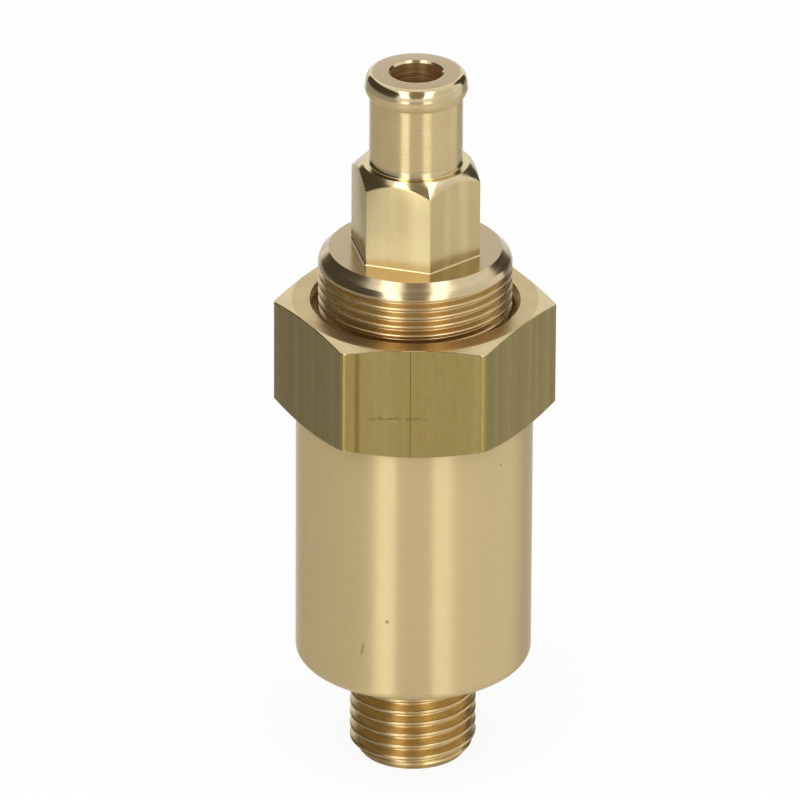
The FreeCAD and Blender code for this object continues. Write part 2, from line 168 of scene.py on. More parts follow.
def pull_to_flats(bm, width, corner_radius, first_corner, under, over):
    """Pulls a spun ridge in to a hexagon's flats. under and over are the radius, height and slope at
    which the turned bevels below and above it begin, and the flats' edges end on those bevels."""
    reach = width / math.sqrt(3)
    middle = (under[1] + over[1]) / 2
    for vert in bm.verts:
        start, height, slope = under if vert.co.z < middle else over
        side = -1 if vert.co.z < middle else 1
        radius = math.hypot(vert.co.x, vert.co.y)
        outside = radius > start - weld and side * (vert.co.z - height) < weld
        if not outside or not under[1] - weld < vert.co.z < over[1] + weld:
            continue
        angle = math.atan2(vert.co.y, vert.co.x) - math.radians(first_corner)
        limit = hexagon_radius(angle, width, corner_radius) - min(reach - radius, edge_break)
        new_radius = min(radius, limit)
        vert.co.z += side * slope * (radius - max(new_radius, start))
        set_radius(vert, new_radius)
    bmesh.ops.remove_doubles(bm, verts=bm.verts[:], dist=weld)


def hexagon_outline(width, under, over):
    """Corners of the ridge that pull_to_flats turns into a hexagon, from its lower bevel upwards."""
    reach = width / math.sqrt(3)
    low = under[1] + (reach - under[0]) * under[2]
    high = over[1] - (reach - over[0]) * over[2]
    return [
        under[:2], (reach - edge_break, low - edge_break * under[2]), (reach, low + edge_break),
        (reach, high - edge_break), (reach - edge_break, high + edge_break * over[2]),
        (over[0] + 2 * edge_break, over[1] - 2 * edge_break * over[2]), over[:2],
    ]


def take_in(bm, other_bm):
    """Adds another bmesh to one, and frees it."""
    mesh = bpy.data.meshes.new("part")
    other_bm.to_mesh(mesh)
    other_bm.free()
    bm.from_mesh(mesh)
    bpy.data.meshes.remove(mesh)


def close_gaps(bm, height):
    """Bridges the two open rims that lie at one height."""
    rims = [e for e in bm.edges if e.is_boundary and all(abs(v.co.z - height) < weld for v in e.verts)]
    bmesh.ops.bridge_loops(bm, edges=rims)


def finish_piece(bm, name, body, materials, zone, node):
    """Makes the object of a bmesh, gives each face its zone's material and puts it on its body."""
    bmesh.ops.recalc_face_normals(bm, faces=bm.faces[:])
    for face in bm.faces:
        face.smooth = True
        face.material_index = zone(face.calc_center_median(), face.normal)
    mesh = bpy.data.meshes.new(name)
    bm.to_mesh(mesh)
    bm.free()
    mesh.set_sharp_from_angle(angle=math.radians(32))
    for material in materials:
        mesh.materials.append(material)
    piece = bpy.data.objects.new(name, mesh)
    bpy.context.scene.collection.objects.link(piece)
    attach(piece, body)
    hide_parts(node)


class Recipe:
    """A material's node tree, with short calls for the nodes that metal finishes are made of."""

    def __init__(self, name):
        self.material = bpy.data.materials.new(name)
        self.material.use_nodes = True
        self.tree = self.material.node_tree
        self.surface = self.tree.nodes["Principled BSDF"]
        place = self.tree.nodes.new("ShaderNodeTexCoord").outputs["Object"]
        self.place = self.add("VectorMath", {0: place, "Scale": 1 / mm}, operation="SCALE")
        parts = self.tree.nodes.new("ShaderNodeSeparateXYZ")
        self.tree.links.new(self.place, parts.inputs[0])
        self.x, self.y, self.z = parts.outputs
        x_square, y_square = (self.maths("MULTIPLY", side, side) for side in (self.x, self.y))
        self.radius = self.maths("SQRT", self.maths("ADD", x_square, y_square))

    def add(self, kind, inputs, output=0, **settings):
        """Adds a node, links or sets its inputs and returns one of its outputs."""
        made = self.tree.nodes.new("ShaderNode" + kind)
        for key, value in settings.items():
            setattr(made, key, value)
        for key, value in inputs.items():
            if isinstance(value, bpy.types.NodeSocket):
                self.tree.links.new(value, made.inputs[key])
            else:
                made.inputs[key].default_value = value
        return made.outputs[output]

    def maths(self, operation, first, second=0.0):
        return self.add("Math", {0: first, 1: second}, operation=operation)

    def ramp(self, value, low, high, to_low=0.0, to_high=1.0):
        """Maps value from low..high to to_low..to_high, smoothly and held at the ends."""
        inputs = {"Value": value, "From Min": low, "From Max": high, "To Min": to_low, "To Max": to_high}
        return self.add("MapRange", inputs, interpolation_type="SMOOTHSTEP")

    def band(self, value, centre, half_width, softness):
        """1 where value lies within half_width of centre, falling to 0 over softness."""
        distance = self.maths("ABSOLUTE", self.maths("SUBTRACT", value, centre))
        return self.ramp(distance, half_width, half_width + softness, 1.0, 0.0)

    def both(self, *masks):
        """1 where all the masks are 1."""
        result = masks[0]
        for mask in masks[1:]:
            result = self.maths("MULTIPLY", result, mask)
        return result

    def noise(self, scale, stretch=(1, 1, 1), detail=2.0, roughness=0.5, at=(0, 0, 0)):
        """Cloudy noise with its scale per millimetre. A low stretch draws it out along that axis."""
        place = self.add("Mapping", {"Vector": self.place, "Scale": stretch, "Location": at})
        inputs = {"Vector": place, "Scale": scale, "Detail": detail, "Roughness": roughness}
        return self.add("TexNoise", inputs)

    def rings(self, per_mm, detail=2.0):
        """Turning marks: noise that changes only along the profile of a turned surface."""
        along = self.maths("ADD", self.z, self.maths("MULTIPLY", self.radius, 1.3))
        return self.add("TexNoise", {"W": along, "Scale": per_mm, "Detail": detail}, noise_dimensions="1D")

    def mix(self, factor, first, second, blend="MIX"):
        made = self.tree.nodes.new("ShaderNodeMix")
        made.data_type = "RGBA"
        made.blend_type = blend
        for socket, value in ((made.inputs[0], factor), (made.inputs[6], first), (made.inputs[7], second)):
            if isinstance(value, bpy.types.NodeSocket):
                self.tree.links.new(value, socket)
            else:
                socket.default_value = (*value, 1) if isinstance(value, tuple) else value
        return made.outputs[2]

    def bump(self, height, depth, normal=None):
        """Relief of a depth in millimetres, on top of another's normal."""
        inputs = {"Height": height, "Distance": depth * mm, "Strength": 1.0}
        if normal is not None:
            inputs["Normal"] = normal
        return self.add("Bump", inputs)

    def metal(self, colour, roughness, normal, anisotropy=0.0, along_axis=False, metallic=1.0):
        """Sets the metal's sockets. With along_axis its highlights stretch along the turning axis."""
        self.tree.links.new(colour, self.surface.inputs["Base Color"])
        self.tree.links.new(roughness, self.surface.inputs["Roughness"])
        self.tree.links.new(normal, self.surface.inputs["Normal"])
        self.surface.inputs["Metallic"].default_value = metallic
        self.surface.inputs["Anisotropic"].default_value = anisotropy
        self.surface.inputs["Anisotropic Rotation"].default_value = 0.25 if along_axis else 0.0
        if anisotropy:
            tangent = self.add("Tangent", {}, direction_type="RADIAL", axis="Z")
            self.tree.links.new(tangent, self.surface.inputs["Tangent"])
        return self.material


def turned_metal(name, colour, roughness, per_mm=9.0, depth=0.004, contrast=0.10, anisotropy=0.0, tint=None,
                 metallic=1.0):
    """Turned finish: fine rings in colour, gloss and relief, and a faint uneven tarnish."""
    recipe = Recipe(name)
    rings = recipe.rings(per_mm, 3.0)
    tarnish = recipe.noise(0.35, detail=3.0)
    dark = tuple(c * (1 - contrast) for c in colour)
    light = tuple(min(1.0, c * (1 + contrast)) for c in colour)
    stain = tint or tuple(c * 0.86 for c in colour)
    shade = recipe.mix(recipe.ramp(rings, 0.3, 0.7), dark, light)
    shade = recipe.mix(recipe.ramp(tarnish, 0.42, 0.66, 0.0, 0.35), shade, stain)
    gloss = recipe.maths("ADD", recipe.ramp(rings, 0.25, 0.75, roughness * 0.8, roughness * 1.2),
                         recipe.ramp(tarnish, 0.4, 0.7, 0.0, 0.05))
    return recipe.metal(shade, gloss, recipe.bump(rings, depth), anisotropy, True, metallic)


def barrel_brass():
    """Satin barrel: fine feed marks, a scratch and a few dark specks from handling."""
    recipe = Recipe("barrel_brass")
    fine = recipe.rings(14.0, 4.0)
    coarse = recipe.rings(1.6, 2.0)
    cloud = recipe.noise(0.16, stretch=(1, 1, 0.7), detail=3.0)
    shade = recipe.mix(recipe.ramp(fine, 0.3, 0.7), (0.605, 0.462, 0.225), (0.650, 0.500, 0.248))
    shade = recipe.mix(recipe.ramp(coarse, 0.35, 0.75, 0.0, 0.2), shade, (0.57, 0.43, 0.205))
    shade = recipe.mix(recipe.ramp(cloud, 0.4, 0.66, 0.0, 0.3), shade, (0.59, 0.455, 0.235))
    front = recipe.ramp(recipe.y, -6.0, -8.0)
    slanted = recipe.maths("SUBTRACT", recipe.x, recipe.maths("MULTIPLY", recipe.z, 0.16))
    ragged = recipe.noise(6.0, detail=2.0)
    scratch = recipe.both(
        recipe.band(slanted, -7.85, 0.08, 0.2), recipe.band(recipe.z, 16.8, 0.45, 0.7),
        recipe.ramp(ragged, 0.35, 0.5), front,
    )
    specks = recipe.ramp(recipe.noise(2.3, detail=1.0, at=(3.1, 0.4, 1.7)), 0.785, 0.83)
    pit = recipe.both(recipe.band(recipe.x, 9.0, 0.05, 0.14), recipe.band(recipe.z, 36.7, 0.04, 0.14), front)
    spot = recipe.both(
        recipe.band(recipe.x, -2.55, 0.06, 0.16), recipe.band(recipe.z, 20.35, 0.10, 0.2), front)
    marks = scratch
    for mark in (pit, specks, spot):
        marks = recipe.maths("MAXIMUM", marks, mark)
    shade = recipe.mix(recipe.maths("MULTIPLY", marks, 0.55), shade, (0.22, 0.19, 0.10))
    gloss = recipe.maths("ADD", recipe.ramp(fine, 0.3, 0.7, 0.30, 0.36), recipe.maths("MULTIPLY", marks, 0.2))
    relief = recipe.bump(fine, 0.002, recipe.bump(coarse, 0.003))
    return recipe.metal(shade, gloss, recipe.bump(marks, -0.02, relief), 0.95, True, 0.42)


def drawn_brass():
    """The bar's drawn skin: die lines along it, a seam, stained bands, a scuff, and painted shade on the side
    flats.
    """
    recipe = Recipe("drawn_brass")
    fine = recipe.noise(7.0, stretch=(1, 1, 0.006), detail=4.0, roughness=0.7)
    broad = recipe.noise(0.85, stretch=(1, 1, 0.012), detail=3.0, roughness=0.6, at=(2.0, 5.0, 0))
    mottle = recipe.noise(1.4, stretch=(1, 1, 0.5), detail=4.0)
    shade = recipe.mix(recipe.ramp(broad, 0.35, 0.68), (0.410, 0.306, 0.098), (0.500, 0.378, 0.126))
    shade = recipe.mix(recipe.ramp(fine, 0.32, 0.72, 0.0, 0.42), shade, (0.47, 0.375, 0.150))
    shade = recipe.mix(recipe.ramp(mottle, 0.45, 0.75, 0.0, 0.25), shade, (0.33, 0.235, 0.105))
    # Painted shade: the four side flats get a darker, greyer colour that stands in for the shade on them.
    painted_side_shade = recipe.ramp(recipe.maths("ABSOLUTE", recipe.x), 7.3, 7.6)
    shade = recipe.mix(painted_side_shade, shade, (0.80, 0.83, 0.95), "MULTIPLY")
    front = recipe.ramp(recipe.y, -12.35, -12.5)
    brown = recipe.both(recipe.band(recipe.x, -5.75, 0.14, 0.22), front)
    bright = recipe.both(recipe.band(recipe.x, -3.3, 0.85, 0.5), recipe.ramp(fine, 0.3, 0.6), front)
    shade = recipe.mix(recipe.maths("MULTIPLY", brown, 0.65), shade, (0.25, 0.155, 0.055))
    shade = recipe.mix(recipe.maths("MULTIPLY", bright, 0.35), shade, (0.50, 0.43, 0.20))
    seam_wander = recipe.maths("MULTIPLY", recipe.noise(0.5, stretch=(0, 0, 1)), 0.12)
    seam = recipe.both(recipe.band(recipe.maths("ADD", recipe.x, seam_wander), -0.24, 0.025, 0.06), front)
    rough_patch = recipe.noise(2.6, stretch=(1, 1, 2.6), detail=4.0, roughness=0.7)
    wave = recipe.maths("SUBTRACT", recipe.noise(0.9, stretch=(1, 0, 0), detail=3.0), 0.5)
    wavering = recipe.maths("ADD", recipe.z, wave)
    scuff_place = recipe.both(
        recipe.band(recipe.x, -1.7, 2.6, 0.9), recipe.band(wavering, 43.85, 0.05, 0.2), front)
    scuff = recipe.both(scuff_place, recipe.ramp(rough_patch, 0.40, 0.52))
    dots = recipe.both(
        recipe.band(recipe.x, -0.4, 2.6, 1.2), recipe.band(recipe.z, 44.7, 0.5, 0.6), front,
        recipe.ramp(recipe.noise(5.5, detail=2.0, at=(1, 7, 2)), 0.66, 0.72))
    shade = recipe.mix(recipe.maths("MULTIPLY", dots, 0.6), shade, (0.62, 0.55, 0.32))
    chipped = recipe.both(
        recipe.band(recipe.x, 6.45, 0.15, 0.45), front,
        recipe.ramp(recipe.noise(9.0, stretch=(0.3, 1, 1), detail=4.0, at=(4, 1, 8)), 0.35, 0.7))
    shade = recipe.mix(recipe.maths("MULTIPLY", chipped, 0.55), shade, (0.60, 0.49, 0.24))
    marks = recipe.maths(
        "MAXIMUM", recipe.maths("MULTIPLY", scuff, 0.55), recipe.maths("MULTIPLY", seam, 0.8))
    shade = recipe.mix(marks, shade, (0.085, 0.070, 0.030))
    gloss = recipe.ramp(broad, 0.3, 0.7, 0.40, 0.30)
    relief = recipe.bump(broad, 0.005, recipe.bump(fine, 0.004))
    return recipe.metal(shade, gloss, recipe.bump(marks, -0.02, relief), 0.6)


barrel_finish = barrel_brass()
drawn_finish = drawn_brass()
faced_finish = turned_metal("faced_brass", (0.59, 0.455, 0.235), 0.34, per_mm=6.0, depth=0.002, contrast=0.05)
bevel_finish = turned_metal("bevel_brass", (0.66, 0.53, 0.30), 0.18, per_mm=6.0, depth=0.001, contrast=0.04)
inlet_finish = turned_metal(
    "screw_cut_brass", (0.70, 0.53, 0.27), 0.27, per_mm=11.0, depth=0.003, contrast=0.08,
    tint=(0.54, 0.36, 0.14))
bored_finish = turned_metal(
    "bored_brass", (0.44, 0.29, 0.12), 0.30, per_mm=5.0, depth=0.006, contrast=0.15, tint=(0.28, 0.17, 0.07))

body_bm = bmesh.new()
cut_thread(body_bm, inlet_root, inlet_crest, inlet_pitch, inlet_front_crest, 0, spigot_top)
for vert in body_bm.verts:
    radius = math.hypot(vert.co.x, vert.co.y)
    runout = min(1, max(0, (spigot_top - inlet_plain_length - vert.co.z) / inlet_runout))
    radius = inlet_crest - (inlet_crest - radius) * runout
    end_radius = inlet_end_radius + (inlet_crest - inlet_end_radius) * vert.co.z / inlet_end_height
    set_radius(vert, min(radius, end_radius))
under_bevel = (barrel_radius, hex_low, hex_under_slope)
over_bevel = (hex_bevel_radius, hex_high, hex_top_slope)
shell_bm = bmesh.new()
lathe(shell_bm, (
    [(barrel_radius - barrel_edge_width * (1 - math.sin(turn)),
      spigot_top + barrel_edge_height * (1 - math.cos(turn)))
     for turn in (math.radians(6 * step) for step in range(16))]
    + hexagon_outline(hex_width, under_bevel, over_bevel)
    + [
        (hex_bevel_radius - top_face_ring, hex_high),
        (mouth_radius + mouth_chamfer, hex_high), (mouth_radius, hex_high - mouth_chamfer),
        (mouth_radius, hex_high - mouth_depth), (chamber_radius, hex_high - mouth_depth),
        (chamber_radius, chamber_floor), (recess_radius, chamber_floor), (recess_radius, recess_floor),
        (inlet_bore, recess_floor), (inlet_bore, inlet_bore_chamfer), (inlet_bore + inlet_bore_chamfer, 0),
    ]
))
gather_columns(shell_bm, 0)
pull_to_flats(shell_bm, hex_width, hex_corner, 0, under_bevel, over_bevel)
take_in(body_bm, shell_bm)
close_gaps(body_bm, 0)
close_gaps(body_bm, spigot_top)


body_finishes = [barrel_finish, drawn_finish, faced_finish, inlet_finish, bored_finish, bevel_finish]
BARREL, DRAWN, FACED, INLET, BORED, BEVEL = range(6)


def body_zone(place, normal):
    """Which of the body's finishes a face has."""
    radius = math.hypot(place.x, place.y)
    outward = normal.x * place.x + normal.y * place.y > 0
    if place.z < spigot_top - weld and outward or radius < inlet_crest and place.z < weld:
        return INLET
    bored = not outward and radius < hex_bevel_radius and abs(normal.z) < 0.95
    if bored or radius < mouth_radius and place.z > weld:
        return BORED
    if place.z < hex_low:
        return BARREL
    if radius > hex_bevel_radius and abs(normal.z) > 0.5:
        return BEVEL
    return DRAWN if abs(normal.z) < 0.5 else FACED


finish_piece(body_bm, "valve_body_turned", "housing", body_finishes, body_zone, "valve_body")

# --------------------------------------------------------------------------- strainer and its ring
# A punched stainless disc lies in a recess over the inlet bore and keeps scale out of the valve.
# A split ring of spring steel holds it down.


def plain_metal(name, colour, roughness, grain=(1, 1, 1), scale=3.0):
    """Mill finish for small hidden parts: cloudy colour, uneven gloss and a light grain."""
    recipe = Recipe(name)
    cloud = recipe.noise(0.8, detail=3.0)
    lines = recipe.noise(scale, stretch=grain, detail=3.0)
    shade = recipe.mix(recipe.ramp(lines, 0.3, 0.7), tuple(c * 0.88 for c in colour), colour)
    shade = recipe.mix(recipe.ramp(cloud, 0.45, 0.7, 0.0, 0.4), shade, tuple(c * 0.78 for c in colour))
    gloss = recipe.ramp(cloud, 0.3, 0.7, roughness * 0.85, roughness * 1.2)
    return recipe.metal(shade, gloss, recipe.bump(lines, 0.004))


def dress(node, material):
    """Gives a carried-over part its finish."""
    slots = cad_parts[node].data.materials
    slots.clear()
    slots.append(material)


dress("inlet_strainer", plain_metal("strainer_steel", (0.56, 0.55, 0.53), 0.35))
dress("strainer_ring", plain_metal("ring_steel", (0.42, 0.41, 0.40), 0.28, scale=6.0))

# ------------------------------------------------------------------------------- capsule carrier
# The carrier is a cast and turned brass spider that stands on the chamber floor. Air passes between
# its three arms, and the capsule's stud is nutted under its hub.
dress("capsule_carrier", turned_metal("carrier_brass", (0.58, 0.45, 0.22), 0.36, per_mm=5.0, contrast=0.12))
dress("stud_washer", plain_metal("washer_steel", (0.60, 0.59, 0.57), 0.30, scale=5.0))
dress("stud_nut", plain_metal("nut_steel", (0.58, 0.57, 0.55), 0.26, scale=5.0))

# ---------------------------------------------------------------------------------------- capsule
# The thermostatic capsule is a stainless bellows welded between two turned caps and filled with a
# volatile liquid. A post inside stops it from being crushed, and a bead of solder seals the filler.
cap_finish = turned_metal(
    "cap_steel", (0.60, 0.59, 0.57), 0.24, per_mm=8.0, contrast=0.07, tint=(0.50, 0.48, 0.44))
for node in ("capsule_lower_cap", "capsule_upper_cap", "capsule_stop_post"):
    dress(node, cap_finish)
dress("capsule_bellows", plain_metal(
    "bellows_steel", (0.64, 0.63, 0.60), 0.20, grain=(0.3, 0.3, 2.0), scale=4.0))
dress("capsule_fill_plug", plain_metal("solder", (0.55, 0.55, 0.55), 0.42))

# ---------------------------------------------------------------------------- needle and lock nut
# The needle is turned from stainless bar and screwed into the capsule's upper cap. A thin nut locks
# it where the lifted cone just closes the seat.
dress("needle", turned_metal(
    "needle_steel", (0.62, 0.61, 0.59), 0.16, per_mm=12.0, contrast=0.05, tint=(0.55, 0.54, 0.50)))
dress("needle_lock_nut", plain_metal("lock_nut_steel", (0.58, 0.57, 0.55), 0.26, scale=5.0))

# ----------------------------------------------------------------------- spring and thrust washer
# A steel spring between the carrier's rim and a brass thrust washer takes up the play of the
# adjuster's thread and holds the carrier down.
dress("adjuster_spring", plain_metal("spring_wire", (0.46, 0.45, 0.44), 0.24, scale=2.0))
dress("thrust_washer", turned_metal("washer_brass", (0.60, 0.46, 0.22), 0.30, per_mm=6.0, contrast=0.10))

# ----------------------------------------------------------------------------------- valve seat
# The seat is a stainless insert with a small orifice, screwed up against a soft copper gasket. Two
# blind holes take a pin spanner.
dress("valve_seat", turned_metal(
    "seat_steel", (0.60, 0.59, 0.57), 0.20, per_mm=9.0, contrast=0.07, tint=(0.5, 0.49, 0.46)))
gasket_finish = plain_metal("soft_copper", (0.62, 0.30, 0.17), 0.38, scale=1.5)
dress("seat_gasket", gasket_finish)

# -------------------------------------------------------------------------------- adjusting sleeve
# The adjusting sleeve is turned brass, screw-cut M20 x 1 below a faced rim. It carries the seat and
# the nozzle, and turning it sets the temperature at which the vent closes.
sleeve_low, sleeve_high = (corner.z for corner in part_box("adjusting_sleeve"))
sleeve_crest = 10.0 * mm
sleeve_root = 9.40 * mm
sleeve_pitch = 1.0 * mm
sleeve_front_crest = 54.87 * mm
sleeve_rim_chamfer = 0.9 * mm
sleeve_lead_radius = 9.8 * mm
sleeve_lead_low = 55.95 * mm
sleeve_shoulder = 43.55 * mm
sleeve_foot = 8.95 * mm
sleeve_thread_lead = 0.7 * mm
thread_lead_in = 0.4 * mm
groove_low, groove_high, groove_radius = 39.30 * mm, 41.00 * mm, 7.71 * mm
foot_bevel = 0.35 * mm
skirt_bore = 7.2 * mm
seat_radius = 6.0 * mm
seat_low = 39.35 * mm
web_low, web_high = 44.75 * mm, 47.15 * mm
waterway = 2.65 * mm
nozzle_thread = 5.0 * mm

sleeve_thread_finish = turned_metal(
    "sleeve_thread_brass", (0.66, 0.50, 0.27), 0.24, per_mm=12.0, depth=0.002, contrast=0.06,
    tint=(0.52, 0.35, 0.14))
rim_finish = turned_metal(
    "rim_brass", (0.66, 0.53, 0.33), 0.18, per_mm=7.0, depth=0.002, contrast=0.05, tint=(0.56, 0.44, 0.26))
rim_face_finish = turned_metal(
    "rim_face_brass", (0.475, 0.37, 0.22), 0.20, per_mm=9.0, depth=0.002, contrast=0.06,
    tint=(0.44, 0.33, 0.19))

sleeve_bm = bmesh.new()
cut_thread(sleeve_bm, sleeve_root, sleeve_crest, sleeve_pitch, sleeve_front_crest,
           sleeve_shoulder, sleeve_lead_low)
for vert in sleeve_bm.verts:
    radius = math.hypot(vert.co.x, vert.co.y)
    lead_in = min(1, max(0, (sleeve_lead_low - vert.co.z) / thread_lead_in))
    radius = sleeve_crest - (sleeve_crest - radius) * lead_in
    lead = sleeve_crest - sleeve_thread_lead + (vert.co.z - sleeve_shoulder)
    set_radius(vert, min(radius, lead))
inner_bm = bmesh.new()
lathe(inner_bm, [
    (sleeve_crest, sleeve_lead_low), (sleeve_lead_radius, sleeve_high - sleeve_rim_chamfer),
    (sleeve_lead_radius - edge_break, sleeve_high - sleeve_rim_chamfer + edge_break),
    (sleeve_lead_radius - sleeve_rim_chamfer, sleeve_high),
    (nozzle_thread, sleeve_high), (nozzle_thread, web_high), (waterway, web_high), (waterway, web_low),
    (seat_radius, web_low), (seat_radius, seat_low), (skirt_bore, seat_low), (skirt_bore, sleeve_low),
    (sleeve_foot - foot_bevel, sleeve_low), (sleeve_foot, sleeve_low + foot_bevel), (sleeve_foot, groove_low),
    (groove_radius, groove_low), (groove_radius, groove_high), (sleeve_foot, groove_high),
    (sleeve_foot, sleeve_shoulder),
], columns=thread_columns)
take_in(sleeve_bm, inner_bm)
close_gaps(sleeve_bm, sleeve_shoulder)
close_gaps(sleeve_bm, sleeve_lead_low)


sleeve_finishes = [sleeve_thread_finish, rim_finish, rim_face_finish]
THREAD, RIM, RIM_FACE = range(3)


def sleeve_zone(place, normal):
    """Which of the sleeve's finishes a face has."""
    if place.z > sleeve_high - weld:
        return RIM_FACE
    threaded = sleeve_shoulder < place.z < sleeve_lead_low
    return THREAD if threaded and math.hypot(place.x, place.y) > sleeve_foot else RIM


finish_piece(
    sleeve_bm, "adjusting_sleeve_turned", "adjuster", sleeve_finishes, sleeve_zone,
    "adjusting_sleeve")

# ----------------------------------------------------------------------------------- sleeve O-ring
# A moulded black rubber ring, stretched over the sleeve's foot into its groove. It seals the
# adjuster while it is turned.
rubber = Recipe("o_ring_rubber")
rubber_grain = rubber.noise(9.0, detail=3.0)
rubber_bloom = rubber.noise(0.7, detail=2.0)
rubber_colour = rubber.mix(rubber.ramp(rubber_bloom, 0.45, 0.7), (0.018, 0.018, 0.018), (0.045, 0.044, 0.042))
rubber_gloss = rubber.ramp(rubber_grain, 0.3, 0.7, 0.42, 0.55)
dress("sleeve_o_ring", rubber.metal(rubber_colour, rubber_gloss, rubber.bump(rubber_grain, 0.004)))
rubber.surface.inputs["Metallic"].default_value = 0.0

# ----------------------------------------------------------------------------------- nozzle gasket
# A second ring stamped from soft copper sheet, dropped onto the sleeve's web. The nozzle's shank
# presses on it.
dress("nozzle_gasket", gasket_finish)

# ---------------------------------------------------------------------------------- outlet nozzle
# The outlet nozzle is turned brass with a milled hexagon. Its shank is screwed into the sleeve, and
# a hose is pushed over the rounded bead onto the neck.
nozzle_low, nozzle_high = (corner.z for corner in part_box("outlet_nozzle"))
nozzle_hex_width = 12.0 * mm
nozzle_hex_corner = 0.12 * mm
nozzle_hex_turn = 43.0
nozzle_hex_high = 67.1 * mm
nozzle_foot = 6.0 * mm
nozzle_foot_fillet = 0.18 * mm
nozzle_foot_curve = ((0.8, 0.0), (0.42, 0.12), (0.15, 0.4), (0.03, 0.75), (0, 1))
nozzle_shoulder = 5.5 * mm
shank_lead = 0.6 * mm
neck_radius = 4.8 * mm
neck_fillet = 0.1 * mm
neck_foot_high = 67.75 * mm
bead_radius = 5.27 * mm
bead_low = 74.5 * mm
bead_land_low, bead_land_high = 75.35 * mm, 75.75 * mm
bead_rise_control = (5.173 * mm, 74.925 * mm)
bead_nose_control = (5.206 * mm, 76.984 * mm)
nose_radius = 4.52 * mm
outlet_bore = 2.65 * mm
outlet_chamfer = 0.2 * mm

neck_finish = turned_metal(
    "neck_brass", (0.625, 0.482, 0.25), 0.22, per_mm=8.0, depth=0.002, contrast=0.04, anisotropy=0.8,
    tint=(0.57, 0.43, 0.21), metallic=0.58)
bead_foot_finish = turned_metal(
    "bead_foot_brass", (0.60, 0.47, 0.24), 0.45, per_mm=8.0, depth=0.001, contrast=0.04, metallic=0.6)
bead_finish = turned_metal(
    "bead_brass", (0.70, 0.58, 0.35), 0.14, per_mm=6.0, depth=0.003, contrast=0.06, tint=(0.60, 0.48, 0.26))
nozzle_bore_finish = turned_metal(
    "nozzle_bore_brass", (0.74, 0.52, 0.24), 0.3, per_mm=5.0, depth=0.003, contrast=0.1, anisotropy=0.8,
    tint=(0.52, 0.33, 0.14), metallic=0.9)


def milled_brass():
    """Milled flats of the small hexagon: a bright face with faint arcs left by the cutter."""
    recipe = Recipe("milled_brass")
    sweep = recipe.add("TexWave", {
        "Vector": recipe.add("Mapping", {"Vector": recipe.place, "Location": (3, 5, -58)}),
        "Scale": 1.1, "Distortion": 0.4, "Detail": 2.0,
    }, output=1, wave_type="RINGS", rings_direction="SPHERICAL")
    upright = recipe.noise(0.5, stretch=(1, 1, 0.04), detail=1.0, at=(0.6, 0, 0))
    shade = recipe.mix(recipe.ramp(upright, 0.35, 0.65), (0.64, 0.505, 0.25), (0.76, 0.62, 0.33))
    shade = recipe.mix(recipe.maths("MULTIPLY", sweep, 0.12), shade, (0.52, 0.42, 0.19))
    gloss = recipe.ramp(upright, 0.3, 0.7, 0.24, 0.32)
    return recipe.metal(shade, gloss, recipe.bump(sweep, 0.0015), 0.3)


milled_finish = milled_brass()
nozzle_under = (nozzle_foot, sleeve_high, 0)
nozzle_reach = nozzle_hex_width / math.sqrt(3)
nozzle_over = (nozzle_shoulder, nozzle_hex_high, 1.0)
nozzle_bm = bmesh.new()
lathe(nozzle_bm, (
    [(outlet_bore, nozzle_low), (nozzle_thread - shank_lead, nozzle_low),
     (nozzle_thread, nozzle_low + shank_lead), (nozzle_thread, sleeve_high)]
    + [(nozzle_reach + nozzle_foot_fillet * out, sleeve_high + nozzle_foot_fillet * up)
       for out, up in nozzle_foot_curve]
    + hexagon_outline(nozzle_hex_width, nozzle_under, nozzle_over)[3:]
    + arc((neck_radius + neck_fillet, nozzle_hex_high + neck_fillet), neck_fillet, 270, 180, 4)
    + [(neck_radius, neck_foot_high), (neck_radius, bead_low)]
    + curve((neck_radius, bead_low), bead_rise_control, (bead_radius, bead_land_low), 6)
    + [(bead_radius, bead_land_high)]
    + curve((bead_radius, bead_land_high), bead_nose_control, (nose_radius, nozzle_high), 8)
    + [(outlet_bore + outlet_chamfer, nozzle_high), (outlet_bore, nozzle_high - outlet_chamfer)]
), closed=True)
gather_columns(nozzle_bm, nozzle_hex_turn)
pull_to_flats(nozzle_bm, nozzle_hex_width, nozzle_hex_corner, nozzle_hex_turn, nozzle_under, nozzle_over)


nozzle_finishes = [
    milled_finish, neck_finish, bead_finish, nozzle_bore_finish, rim_face_finish, bead_foot_finish]
FLATS, NECK, POLISHED, BORE, END_FACE, BEAD_FOOT = range(6)


def nozzle_zone(place, normal):
    """Which of the nozzle's finishes a face has."""
    radius = math.hypot(place.x, place.y)
    if radius < outlet_bore + outlet_chamfer and abs(normal.z) < 0.5:
        return BORE
    if sleeve_high < place.z < nozzle_hex_high and abs(normal.z) < 0.5:
        return FLATS
    if place.z > bead_land_high and normal.z > 0.97:
        return END_FACE
    if bead_low < place.z < bead_land_high:
        return BEAD_FOOT
    return NECK if neck_foot_high < place.z < bead_low else POLISHED


finish_piece(
    nozzle_bm, "outlet_nozzle_turned", "adjuster", nozzle_finishes, nozzle_zone,
    "outlet_nozzle")

# ------------------------------------------------------------------------ table, light and camera
# The vent stands on a sheet of glossy white acrylic in a white surround. Two upright soft boxes stand
# either side of the camera, and dark cards between them and at the sides give the metal its contrast.


